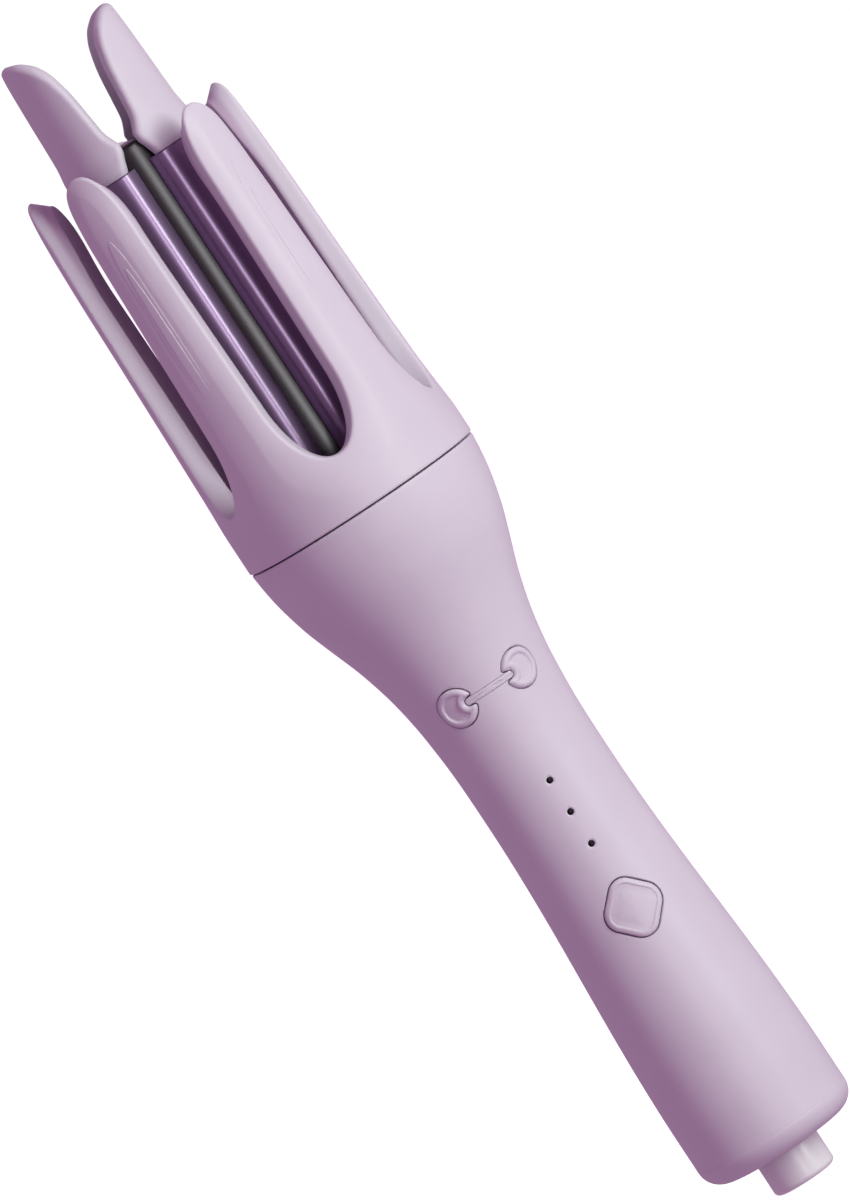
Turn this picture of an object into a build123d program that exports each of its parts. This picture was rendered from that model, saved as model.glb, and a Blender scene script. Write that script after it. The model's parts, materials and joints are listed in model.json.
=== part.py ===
from build123d import *
import os
from math import acos, cos, pi, radians, sin, sqrt, tan

os.makedirs("parts", exist_ok=True)

# Automatic hair curler, standing on its cord gland with the head up and the buttons facing -Y.

# Handle
GLAND_R = 8.75
GLAND_HEIGHT = 9.7
END_FACE = 10.0
END_ROUNDING = 5.9
END_CAP_TOP = 16.0
BUTT_R = 21.9
BUTT_Z = 25.0
WAIST_R = 18.1
WAIST_Z = 118.0
RIM_Z = 203.0
RIM_STEP = 0.2
FLARE_LENGTH = 55.0
WALL = 2.3

# Head
HEAD_R = 33.1
TIP_TAPER = 3.5
HEAD_LENGTH = 108.0
SLOT_COUNT = 5
SLOT_RISE = 15.3
SLOT_HALF = 11.8
SLOT_CURVE = 19.8
CAGE_BORE_R = 25.8
LINER_WALL = 2.7

# Rotor
LOBE_R = 17.5
LOBE_DEPTH = 4.7
LOBE_RISE = 8.0
LOBE_LENGTH = 93.5
GROOVE_HALF = 2.4
SHOULDER_HALF = 5.2
CORE_PROUD = 3.5
CORE_CAP = 2.8
EAR_PROUD = 0.8
EAR_LENGTH = 38.5
COLLAR_GAP = 1.5
SHAFT_R = 5.0
SHAFT_BORE_R = 3.0

# Gearing
MODULE = 0.6
WHEEL_TEETH = 34
PINION_TEETH = 12
TOOTH_THINNING = 0.2
GEAR_DEPTH = 14.5
GEAR_WIDTH = 5.0

# Controls
POWER_Z = 82.5
POWER_SIDE = 13.8
DIRECTION_DROP = 55.0
DIRECTION_R = 5.15
DIRECTION_ANGLE = 29.0
NOTCH_R = 1.25
LED_HEIGHTS = [101.5, 111.0, 120.4]

# Clearances
RUNNING_FIT = 0.05
TURNING_GAP = 0.3
BUTTON_GAP = 0.35
SEAM = 0.4
LID_GAP = 0.1

# Places and sizes that follow from the values above
RIM_R = HEAD_R - RIM_STEP
TIP_R = HEAD_R - TIP_TAPER
HEAD_TOP = RIM_Z + HEAD_LENGTH
SLOT_STEP = 360 / SLOT_COUNT
SLOT_FLOOR = RIM_Z + SLOT_RISE
CORE_R = LOBE_R - LOBE_DEPTH
EAR_R = LOBE_R + EAR_PROUD
COLLAR_R = CAGE_BORE_R - COLLAR_GAP
LOBE_BASE = RIM_Z + LOBE_RISE
LOBE_TOP = LOBE_BASE + LOBE_LENGTH
CORE_TOP = LOBE_TOP + CORE_PROUD
CAP_TOP = CORE_TOP + CORE_CAP
EAR_TOP = LOBE_TOP + EAR_LENGTH
GEAR_Z = RIM_Z - GEAR_DEPTH
DIRECTION_Z = RIM_Z - DIRECTION_DROP
SEAM_TOP = RIM_Z + SEAM / 2
SEAM_LOW = RIM_Z - SEAM / 2
PLATE_Z = SEAM_LOW - 5.8
PLATE_TOP = PLATE_Z + 3.0
RING_TOP = SEAM_TOP + 5.7
FRAME_TOP = GEAR_Z - 2.0
FRAME_Z = FRAME_TOP - 2.5
CENTRE_DISTANCE = MODULE * (WHEEL_TEETH + PINION_TEETH) / 2 + 0.1


def save(node, shape):
    export_step(Compound(label=node, children=list(shape.solids())), f"parts/{node}.step")


def tube(outer, inner, low, high):
    ring = Circle(outer) - Circle(inner)
    return extrude(Pos(0, 0, low) * ring, high - low)


def rod(radius, low, high, x=0.0, y=0.0):
    return extrude(Pos(x, y, low) * Circle(radius), high - low)


def block(x0, x1, y0, y1, z0, z1):
    centre = Pos((x0 + x1) / 2, (y0 + y1) / 2, (z0 + z1) / 2)
    return centre * Box(x1 - x0, y1 - y0, z1 - z0)


def cross_rod(radius, x, z, y0, y1):
    face = Plane(origin=(x, y0, z), x_dir=(1, 0, 0), z_dir=(0, 1, 0)) * Circle(radius)
    return extrude(face, y1 - y0)


def facing(azimuth, height, distance):
    turn = radians(azimuth)
    outward = Vector(sin(turn), -cos(turn), 0)
    return Plane(
        origin=outward * distance + Vector(0, 0, height),
        x_dir=(cos(turn), sin(turn), 0),
        z_dir=outward,
    )


# The handle swells towards the butt along half a cosine wave and flares to the rim in six steps.
def handle_solid(inset):
    edge = []
    for step in range(7):
        share = (1 + cos(pi * step / 6)) / 2
        height = BUTT_Z + (WAIST_Z - BUTT_Z) * step / 6
        edge.append((WAIST_R + (BUTT_R - WAIST_R) * share - inset, height))
    for step, share in enumerate([0.095, 0.21, 0.392, 0.628, 0.838, 0.96]):
        height = RIM_Z - FLARE_LENGTH * (1 - step / 5.5)
        edge.append((WAIST_R + (RIM_R - WAIST_R) * share - inset, height))
    edge.append((RIM_R - inset, RIM_Z + 1))
    low = (BUTT_R - inset, END_FACE)
    lines = Line((0, END_FACE), low)
    lines += Line(low, edge[0])
    lines += Spline(edge, tangents=[(0, 1), (0.05, 1)])
    lines += Line(edge[-1], (0, RIM_Z + 1))
    lines += Line((0, RIM_Z + 1), (0, END_FACE))
    return revolve(Plane.XZ * make_face(lines), Axis.Z)


outer_form = handle_solid(0)
inner_form = handle_solid(WALL)


# ---- Handle shells -------------------------------------------------------------------------
BOSS_X = 12.5
BOSS_HEIGHTS = [45.0, 132.0]
LEDGE_R = 24.5
BOARD_Y = 2.0
BOARD_HALF = 8.5
KEY_BOARD_Y = -7.6

hollow = (outer_form - inner_form) & block(-60, 60, -60, 60, END_CAP_TOP, SEAM_LOW)
ledge = inner_form & tube(40, LEDGE_R, FRAME_Z - 2, FRAME_Z)
front_half = block(-60, 60, -60, 0, 0, RIM_Z + 10)
rear_half = block(-60, 60, 0, 60, 0, RIM_Z + 10)
front_shell = (hollow & front_half) + (ledge & front_half)
rear_shell = (hollow & rear_half) + (ledge & rear_half)
screws = []
for side in [-1, 1]:
    for height in BOSS_HEIGHTS:
        x = side * BOSS_X
        front_shell += inner_form & cross_rod(2.8, x, height, -20, 0)
        rear_shell += inner_form & cross_rod(2.8, x, height, 0, 20)
        front_shell -= cross_rod(1.1, x, height, -6, 0)
        rear_shell -= cross_rod(1.3, x, height, 0, 6)
        rear_shell -= cross_rod(2.2, x, height, 5, 30)
        screws.append(cross_rod(1.1, x, height, -6, 5))
        screws.append(cross_rod(2.1, x, height, 5, 6.6))
for side in [-1, 1]:
    for height in [60.0, 112.0]:
        inside = side * BOARD_HALF
        rail = block(min(inside, side * 24), max(inside, side * 24), 0, BOARD_Y + 1.6,
                     height - 1, height + 1)
        rear_shell += inner_form & rail
for height in [POWER_Z + 13.0, DIRECTION_Z - 14.0]:
    front_shell += inner_form & cross_rod(1.6, 0, height, -20, KEY_BOARD_Y)

# Button openings and the shallow recess for the bar that joins the two direction buttons
INLAY_DEPTH = 1.0
BAND_HALF = 0.9
LED_R = 0.85


def power_outline(grow):
    side = POWER_SIDE + 2 * grow
    return Rot(0, 0, 45) * RectangleRounded(side, side, 4.0 + grow)


def crescent(side, grow):
    notch = Pos(-side * (DIRECTION_R + 0.3), 0) * Rectangle(3.6, 2 * (NOTCH_R - grow))
    notch += Pos(-side * (DIRECTION_R - 1.5), 0) * Circle(NOTCH_R - grow)
    return Circle(DIRECTION_R + grow) - notch


def through(azimuth, height, sketch, start=8, length=20):
    return extrude(facing(azimuth, height, start) * sketch, length)


power_hole = through(0, POWER_Z, power_outline(BUTTON_GAP))
front_shell -= power_hole
inlay = through(0, DIRECTION_Z, Rectangle(20, 2 * BAND_HALF))
inlay = inlay & (outer_form - handle_solid(INLAY_DEPTH))
front_shell -= inlay
for side in [-1, 1]:
    hole = through(side * DIRECTION_ANGLE, DIRECTION_Z, crescent(side, BUTTON_GAP))
    front_shell -= hole
    inlay -= hole
windows = []
for height in LED_HEIGHTS:
    window = cross_rod(LED_R, 0, height, -25, KEY_BOARD_Y - 2.2) & outer_form
    front_shell -= window
    windows.append(window)

save("handle_front_shell", front_shell)
save("handle_rear_shell", rear_shell)
save("shell_screws", Part() + screws)
save("direction_bar", inlay)
save("led_windows", Part() + windows)

# ---- Butt end ------------------------------------------------------------------------------
NECK_R = 6.5
FLANGE_R = 9.0
CAP_FLOOR = 2.6
CORD_BORE_R = 3.4

end_cap = rod(BUTT_R, END_FACE, END_CAP_TOP)
end_cap = fillet(end_cap.edges().sort_by(Axis.Z)[0], END_ROUNDING)
end_cap += tube(BUTT_R - WALL - RUNNING_FIT, BUTT_R - WALL - 2, END_CAP_TOP, END_CAP_TOP + 4)
end_cap -= rod(BUTT_R - WALL - 2, END_FACE + CAP_FLOOR, END_CAP_TOP + 5)
end_cap -= rod(NECK_R + TURNING_GAP, 0, END_CAP_TOP)
save("end_cap", end_cap)

flange_z = END_FACE + CAP_FLOOR + TURNING_GAP
swivel = rod(GLAND_R, 0, GLAND_HEIGHT)
swivel = fillet(swivel.edges().sort_by(Axis.Z)[0], 1.4)
swivel += rod(NECK_R, GLAND_HEIGHT, flange_z)
swivel += rod(FLANGE_R, flange_z, flange_z + 2.5)
swivel -= rod(CORD_BORE_R, 0, 30)
save("cord_swivel", swivel)

# ---- Electronics in the handle -------------------------------------------------------------
board_back = BOARD_Y + 1.6
save("main_board", block(-BOARD_HALF, BOARD_HALF, BOARD_Y, board_back, 30, 140))
save("button_board", block(-9, 9, KEY_BOARD_Y, KEY_BOARD_Y + 1.6, POWER_Z - 10.5, DIRECTION_Z + 8))
save("main_capacitor", rod(5, 62, 84, 0, board_back + 5))
save("choke_coil", cross_rod(5.5, 0, 52, board_back, board_back + 5) - cross_rod(2.4, 0, 52, 0, 20))
save("controller_chip", block(-4, 4, board_back, board_back + 1.4, 96, 108))
save("terminal_block", block(-7, 7, board_back, board_back + 8, 32, 41))
switch_face = KEY_BOARD_Y - 3.5
switches = [block(-3, 3, switch_face, KEY_BOARD_Y, POWER_Z - 3, POWER_Z + 3)]
for side in [-1, 1]:
    x = side * 5.4
    switches.append(block(x - 3, x + 3, switch_face, KEY_BOARD_Y, DIRECTION_Z - 3, DIRECTION_Z + 3))
save("tact_switches", Part() + switches)
chips = []
for height in LED_HEIGHTS:
    chips.append(block(-0.8, 0.8, KEY_BOARD_Y - 0.8, KEY_BOARD_Y, height - 0.6, height + 0.6))
save("led_chips", Part() + chips)

# ---- Buttons: a raised cap, a lip behind the shell and a stem that reaches for its switch -----
CAP_RISE = 0.7


def button(azimuth, height, sketch, lip, stem_r, stem_end):
    cap = through(azimuth, height, sketch) & (handle_solid(-CAP_RISE) - handle_solid(WALL + 1.5))
    under = handle_solid(WALL + TURNING_GAP) - handle_solid(WALL + 1.5)
    cap += through(azimuth, height, lip) & under
    reach = through(azimuth, height, Circle(stem_r), stem_end, 20)
    cap += reach & handle_solid(WALL + 0.5)
    return cap


save("power_button", button(0, POWER_Z, power_outline(0), power_outline(1.2), 2, 12.1))
for side, name in [(-1, "left"), (1, "right")]:
    lip = Circle(DIRECTION_R + 1.0)
    cap = button(side * DIRECTION_ANGLE, DIRECTION_Z, crescent(side, 0), lip, 1.5, 14.3)
    save(f"direction_button_{name}", cap)

# ---- Drive: two plates, bushes, motor and the brush set ---------------------------------------
BUSH_R = 7.0
POST_R = 3.0
POST_RING = 22.0
RING_R = 29.2
RING_WALL = 2.6
FRAME_R = LEDGE_R + 2.1

plate = rod(RING_R - 0.2, PLATE_Z, PLATE_TOP) - rod(BUSH_R, PLATE_Z, PLATE_TOP)
frame = rod(FRAME_R, FRAME_Z, FRAME_TOP) - rod(BUSH_R, FRAME_Z, FRAME_TOP)
frame -= rod(3.2, FRAME_Z, FRAME_TOP, CENTRE_DISTANCE)
frame_screws = []
for turn in [60, 180, 300]:
    x = POST_RING * cos(radians(turn))
    y = POST_RING * sin(radians(turn))
    frame += rod(POST_R, FRAME_TOP, PLATE_Z, x, y)
    frame -= rod(1.1, PLATE_Z - 6, PLATE_Z, x, y)
    plate -= rod(1.1, PLATE_Z, PLATE_TOP, x, y)
    frame_screws.append(rod(1.1, PLATE_Z - 6, PLATE_TOP, x, y))
    frame_screws.append(rod(2.4, PLATE_TOP, PLATE_TOP + 1.6, x, y))
save("head_plate", plate)
save("gear_frame", frame)
save("frame_screws", Part() + frame_screws)
save("locking_ring", tube(RING_R, RING_R - RING_WALL, PLATE_TOP, RING_TOP))
save("upper_bush", tube(BUSH_R, SHAFT_R + RUNNING_FIT, PLATE_Z - 1, PLATE_TOP))
save("lower_bush", tube(BUSH_R, SHAFT_R + RUNNING_FIT, FRAME_Z - 1, FRAME_TOP))
motor = block(-6, 6, -5, 5, FRAME_Z - 18, FRAME_Z)
save("motor", Pos(CENTRE_DISTANCE, 0, 0) * motor)

HUB_R = 6.5
RING_WIDTH = 1.8
ring_heights = [FRAME_Z - 15, FRAME_Z - 11, FRAME_Z - 7]
holder = block(-18, -12, -4, 4, FRAME_Z - 16, FRAME_Z)
hub = tube(HUB_R, SHAFT_R, FRAME_Z - 17, FRAME_Z - 4)
brushes = []
slip_rings = []
for height in ring_heights:
    brush_end = HUB_R + 1.0 + TURNING_GAP
    brush = block(-13.5, -brush_end, -1.5, 1.5, height + 0.2, height + RING_WIDTH - 0.2)
    holder -= brush
    brushes.append(brush)
    slip_rings.append(tube(HUB_R + 1.0, HUB_R, height, height + RING_WIDTH))
save("brush_holder", holder)
save("carbon_brushes", Part() + brushes)
save("slip_ring_hub", hub)
save("slip_rings", Part() + slip_rings)


# ---- Gears: involute teeth, thinned so that they turn freely ---------------------------------
def gear(teeth, bore):
    pitch_r = MODULE * teeth / 2
    base_r = pitch_r * cos(radians(20))
    involute_20 = tan(radians(20)) - radians(20)
    half_at_pitch = (pi * MODULE / 2 - TOOTH_THINNING) / (2 * pitch_r)
    root_r = pitch_r - 1.25 * MODULE
    tip_r = pitch_r + 0.85 * MODULE
    flank = [(root_r, half_at_pitch + involute_20)]
    for step in range(5):
        radius = max(base_r, root_r + 0.02) + (tip_r - max(base_r, root_r + 0.02)) * step / 4
        angle = acos(min(1, base_r / radius))
        flank.append((radius, half_at_pitch + involute_20 - (tan(angle) - angle)))
    outline = []
    for tooth in range(teeth):
        centre = 2 * pi * tooth / teeth
        for radius, half in flank:
            outline.append((radius * cos(centre - half), radius * sin(centre - half)))
        for radius, half in reversed(flank):
            outline.append((radius * cos(centre + half), radius * sin(centre + half)))
    face = make_face(Polyline(outline, close=True))
    if bore:
        face -= Circle(bore)
    return extrude(Pos(0, 0, GEAR_Z) * face, GEAR_WIDTH)


# The wheel has a tooth on the line of centres, so the pinion meets it with a space.
save("driven_gear", gear(WHEEL_TEETH, SHAFT_R))
pinion = Rot(0, 0, 180 + 180 / PINION_TEETH) * gear(PINION_TEETH, 0)
pinion += rod(1.5, FRAME_Z + TURNING_GAP, GEAR_Z + GEAR_WIDTH)
save("motor_pinion", Pos(CENTRE_DISTANCE, 0, 0) * pinion)

# ---- Rotor ----------------------------------------------------------------------------------
COLLAR_Z = PLATE_TOP + 4.5
HEATER_HALF = 4.5
HEATER_THICKNESS = 2.1
HEATER_COVER = 0.18
THERMISTOR_R = 1.2

shaft_top = COLLAR_Z + 3.5
shaft = tube(SHAFT_R, SHAFT_BORE_R, FRAME_Z - 18, shaft_top)
save("drive_shaft", shaft)
collar = rod(COLLAR_R, COLLAR_Z, LOBE_BASE) - rod(SHAFT_R, COLLAR_Z, shaft_top)
collar -= rod(SHAFT_BORE_R, COLLAR_Z, LOBE_BASE)
save("barrel_collar", collar)

heater_out = sqrt(CORE_R**2 - HEATER_HALF**2) - HEATER_COVER
heater_in = heater_out - HEATER_THICKNESS
core = tube(CORE_R, SHAFT_BORE_R, LOBE_BASE, CORE_TOP)
for side, name in [(-1, "left"), (1, "right")]:
    low = LOBE_BASE + 4
    inner = side * (heater_in - LID_GAP)
    core -= block(min(inner, side * 20), max(inner, side * 20), -HEATER_HALF - LID_GAP,
                  HEATER_HALF + LID_GAP, low, LOBE_TOP - 4)
    heater = block(heater_in, heater_out, -HEATER_HALF, HEATER_HALF, low, LOBE_TOP - 4)
    save(f"ptc_heater_{name}", heater if side > 0 else mirror(heater, Plane.YZ))
thermistor_y = CORE_R - 4.8
thermistor_z = LOBE_BASE + 39
core -= rod(THERMISTOR_R + LID_GAP, thermistor_z, CORE_TOP, 0, thermistor_y)
save("thermistor", rod(THERMISTOR_R, thermistor_z, thermistor_z + 12, 0, thermistor_y))
save("barrel_core", core)
save("core_cap", rod(CORE_R, CORE_TOP, CAP_TOP))

crest = sqrt(LOBE_R**2 - SHOULDER_HALF**2)
foot = sqrt(CORE_R**2 - GROOVE_HALF**2)
groove = Polyline(
    (-GROOVE_HALF, 0), (GROOVE_HALF, 0), (GROOVE_HALF, foot), (SHOULDER_HALF, crest),
    (SHOULDER_HALF, 30), (-SHOULDER_HALF, 30), (-SHOULDER_HALF, crest), (-GROOVE_HALF, foot),
    close=True,
)
groove = make_face(groove)
lobes = Circle(LOBE_R) - Circle(CORE_R + RUNNING_FIT) - groove - Rot(0, 0, 180) * groove
lobes = extrude(Pos(0, 0, LOBE_BASE) * lobes, LOBE_TOP - LOBE_BASE)

EAR_WALL = 4.2
PIN_R = 1.0
pin_ring = (LOBE_R + CORE_R) / 2
ear_base = LOBE_TOP + LID_GAP
ear_inner = EAR_R - EAR_WALL
profile = Polyline(
    (CORE_R + 0.3, ear_base), (EAR_R, ear_base), (EAR_R, ear_base + 4.5),
    (EAR_R - 0.7, ear_base + 10), (EAR_R - 1.2, ear_base + 23.5), (EAR_R - 1.7, EAR_TOP - 5),
    (EAR_R - 2.3, EAR_TOP - 1.3), (EAR_R - 3.4, EAR_TOP), (EAR_R - 4.6, EAR_TOP - 0.8),
    (ear_inner - 0.9, EAR_TOP - 10), (ear_inner - 0.3, ear_base + 14),
    (CORE_R + 0.3, ear_base + 7), close=True,
)
ears = revolve(Plane.XZ * make_face(profile), Axis.Z)
gap_side = [
    (2 * GROOVE_HALF, LOBE_TOP), (0.45 * SHOULDER_HALF, LOBE_TOP + 6.5),
    (0.81 * SHOULDER_HALF, LOBE_TOP + 8.7), (SHOULDER_HALF, LOBE_TOP + 15.5),
    (1.2 * SHOULDER_HALF, EAR_TOP - 14), (1.5 * SHOULDER_HALF, EAR_TOP - 8.5),
    (2.0 * SHOULDER_HALF, EAR_TOP - 4.3), (2.6 * SHOULDER_HALF, EAR_TOP - 1.2),
    (3.3 * SHOULDER_HALF, EAR_TOP + 0.6),
]
edge = Polyline((0, LOBE_TOP - 1), (gap_side[0][0] + 0.4, LOBE_TOP - 1), *gap_side[:2])
edge += Spline(gap_side[1:])
edge += Polyline(gap_side[-1], (gap_side[-1][0], EAR_TOP + 5), (0, EAR_TOP + 5), (0, LOBE_TOP - 1))
half_gap = extrude(Plane.XZ * make_face(edge), 30, both=True)
ears -= half_gap
ears -= mirror(half_gap, Plane.YZ)
pins = []
for turn in [45, 135, 225, 315]:
    pin = rod(PIN_R, LOBE_TOP - 4, LOBE_TOP + 4, pin_ring * cos(radians(turn)),
              pin_ring * sin(radians(turn)))
    lobes -= pin
    ears -= pin
    pins.append(pin)
save("ear_pins", Part() + pins)
left_side = block(-40, 0, -40, 40, LOBE_BASE - 1, EAR_TOP + 1)
right_side = block(0, 40, -40, 40, LOBE_BASE - 1, EAR_TOP + 1)
for side, name in [(left_side, "left"), (right_side, "right")]:
    save(f"barrel_lobe_{name}", lobes & side)
    save(f"ear_{name}", ears & side)


# ---- Head: outer cage and inner liner share one set of slots ----------------------------------
# Slot walls point at the axis; towards the top each slot opens out round the petal tips.
PETAL_TIP = 20.0


def slot_section(distance):
    foot = SLOT_HALF * distance / HEAD_R
    side = 1.12 * foot
    meeting = distance * tan(radians(SLOT_STEP / 2))
    centre = SLOT_FLOOR + SLOT_CURVE
    start = HEAD_TOP - PETAL_TIP
    edge = EllipticalCenterArc((0, centre), foot, SLOT_CURVE, 270, arc_size=90)
    edge += Line((foot, centre), (side, start))
    edge += Bezier((side, start), (side, start + 0.75 * PETAL_TIP),
                   (side + 0.4 * (meeting - side), HEAD_TOP), (meeting, HEAD_TOP))
    edge += Polyline((meeting, HEAD_TOP), (meeting, HEAD_TOP + 4), (0, HEAD_TOP + 4), (0, SLOT_FLOOR))
    return facing(0, 0, distance) * make_face(edge)


half_slot = loft([slot_section(CAGE_BORE_R - 4), slot_section(HEAD_R + 4)], ruled=True)
slot = half_slot + mirror(half_slot, Plane.YZ)

liner_r = CAGE_BORE_R + LINER_WALL
seat_r = RING_R + LID_GAP
cage_profile = Polyline(
    (liner_r + LID_GAP, HEAD_TOP - 0.2), (liner_r + LID_GAP, RING_TOP), (seat_r, RING_TOP),
    (seat_r, SEAM_TOP), (HEAD_R - 0.4, SEAM_TOP), (HEAD_R, SEAM_TOP + 0.6),
)
cage_profile += Spline((HEAD_R, SEAM_TOP + 0.6), (HEAD_R - 0.75, RIM_Z + 40), (HEAD_R - 1.5, RIM_Z + 80),
                       (HEAD_R - 2.1, HEAD_TOP - 13), (TIP_R, HEAD_TOP - 1.2))
cage_profile += Polyline((TIP_R, HEAD_TOP - 1.2), (TIP_R - 0.6, HEAD_TOP - 0.2),
                         (liner_r + LID_GAP, HEAD_TOP - 0.2))
cage = revolve(Plane.XZ * make_face(cage_profile), Axis.Z)
liner = tube(liner_r, CAGE_BORE_R, RING_TOP, HEAD_TOP - 1)
for index in range(SLOT_COUNT):
    cutter = Rot(0, 0, index * SLOT_STEP) * slot
    cage -= cutter
    liner -= cutter
save("petal_cage", cage)
save("cage_liner", liner)
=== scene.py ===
import bpy
import json
import math
from mathutils import Matrix, Vector


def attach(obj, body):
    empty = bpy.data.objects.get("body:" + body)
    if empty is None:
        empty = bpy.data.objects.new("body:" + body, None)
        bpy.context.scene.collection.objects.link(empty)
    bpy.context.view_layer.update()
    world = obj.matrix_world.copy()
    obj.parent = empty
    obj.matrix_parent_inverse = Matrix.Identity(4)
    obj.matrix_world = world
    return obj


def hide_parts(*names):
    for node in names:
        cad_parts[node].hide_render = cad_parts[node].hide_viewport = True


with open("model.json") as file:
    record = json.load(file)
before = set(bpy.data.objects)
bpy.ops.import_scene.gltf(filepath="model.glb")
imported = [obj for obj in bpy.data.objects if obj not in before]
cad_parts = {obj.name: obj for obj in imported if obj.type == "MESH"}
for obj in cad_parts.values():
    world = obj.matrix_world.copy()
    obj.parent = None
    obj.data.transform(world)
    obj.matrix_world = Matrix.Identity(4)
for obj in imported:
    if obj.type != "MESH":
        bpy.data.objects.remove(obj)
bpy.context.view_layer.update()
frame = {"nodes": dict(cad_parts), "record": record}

# ---------------------------------------------------------------------------------------------
# Camera: a nearly parallel view from a little above and to the left, rolled so that the tool
# leans to one side.
# ---------------------------------------------------------------------------------------------
azimuth = math.radians(-3.9)
elevation = math.radians(3.6)
roll = math.radians(33.4)
target = Vector((0, 0, 0.174))
back = Vector((
    math.sin(azimuth) * math.cos(elevation),
    -math.cos(azimuth) * math.cos(elevation),
    math.sin(elevation),
))
level = Vector((0, 0, 1)).cross(back).normalized()
upright = back.cross(level)
right = level * math.cos(roll) - upright * math.sin(roll)
up = upright * math.cos(roll) + level * math.sin(roll)
turn = Matrix((right, up, back)).transposed()
bpy.ops.object.camera_add(location=target + back * 4.167, rotation=turn.to_euler())
camera = bpy.context.object
camera.name = "view_camera"
camera.data.lens = 500
camera.data.sensor_width = 36
camera.data.clip_end = 30
bpy.context.scene.camera = camera

# ---------------------------------------------------------------------------------------------
# Studio: an even soft fill all round, a tall soft key light in front on the right, and a strip
# that shows only in gloss. The floor and the dome are white paper.
# ---------------------------------------------------------------------------------------------
bpy.context.scene.view_settings.view_transform = "Standard"
world = bpy.data.worlds.new("soft_studio")
bpy.context.scene.world = world
world.use_nodes = True
fill = world.node_tree.nodes["Background"]
fill.inputs["Color"].default_value = (0.44, 0.268, 0.42, 1)
fill.inputs["Strength"].default_value = 1.0

# White paper: the floor and a dome behind everything. Neither lights the tool.
bpy.ops.mesh.primitive_circle_add(vertices=96, radius=8.9, fill_type="NGON", location=(0, 0, -0.0003))
floor = bpy.context.object
floor.name = "studio_floor"
bpy.ops.object.transform_apply(location=True)
bpy.ops.mesh.primitive_uv_sphere_add(segments=64, ring_count=32, radius=9)
dome = bpy.context.object
dome.name = "studio_dome"
paper = bpy.data.materials.new("white_paper")
paper.use_nodes = True
nodes = paper.node_tree.nodes
links = paper.node_tree.links
shader = nodes["Principled BSDF"]
place = nodes.new("ShaderNodeTexCoord")
grain = nodes.new("ShaderNodeTexNoise")
grain.inputs["Scale"].default_value = 300
links.new(place.outputs["Object"], grain.inputs["Vector"])
tint = nodes.new("ShaderNodeMapRange")
tint.inputs["To Min"].default_value = 0.80
tint.inputs["To Max"].default_value = 0.84
links.new(grain.outputs["Fac"], tint.inputs["Value"])
links.new(tint.outputs["Result"], shader.inputs["Base Color"])
shader.inputs["Roughness"].default_value = 0.9
shader.inputs["Specular IOR Level"].default_value = 0.1
shader.inputs["Emission Color"].default_value = (1, 1, 1, 1)
shader.inputs["Emission Strength"].default_value = 0.80
floor.data.materials.append(paper)
glow = bpy.data.materials.new("white_dome")
glow.use_nodes = True
nodes = glow.node_tree.nodes
links = glow.node_tree.links
shader = nodes["Principled BSDF"]
place = nodes.new("ShaderNodeTexCoord")
grain = nodes.new("ShaderNodeTexNoise")
grain.inputs["Scale"].default_value = 3
links.new(place.outputs["Object"], grain.inputs["Vector"])
tint = nodes.new("ShaderNodeMapRange")
tint.inputs["To Min"].default_value = 1.02
tint.inputs["To Max"].default_value = 1.06
links.new(grain.outputs["Fac"], tint.inputs["Value"])
links.new(tint.outputs["Result"], shader.inputs["Emission Strength"])
shader.inputs["Emission Color"].default_value = (1, 1, 1, 1)
shader.inputs["Base Color"].default_value = (0, 0, 0, 1)
dome.data.materials.append(glow)
for screen in (floor, dome):
    screen.visible_diffuse = False
    screen.visible_glossy = False
    screen.visible_transmission = False
    screen.visible_shadow = False

where = Vector((0.903, -0.935, 0.56))
bpy.ops.object.light_add(type="AREA", location=where)
key = bpy.context.object
key.name = "key_light"
key.data.shape = "RECTANGLE"
key.data.size = 0.30
key.data.size_y = 1.10
key.data.energy = 17.6
key.data.color = (0.85, 1.0, 0.865)
key.rotation_euler = Vector((where.x, where.y, 0)).to_track_quat("Z", "Y").to_euler()

# A narrow strip in front of the slot that only shows as gloss lines along the barrel
where = Vector((0.226, -1.280, 0.30))
bpy.ops.object.light_add(type="AREA", location=where)
gloss = bpy.context.object
gloss.name = "strip_light"
gloss.data.shape = "RECTANGLE"
gloss.data.size = 0.25
gloss.data.size_y = 1.10
gloss.data.energy = 7.6
gloss.visible_diffuse = False
gloss.rotation_euler = Vector((where.x, where.y, 0)).to_track_quat("Z", "Y").to_euler()

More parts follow.
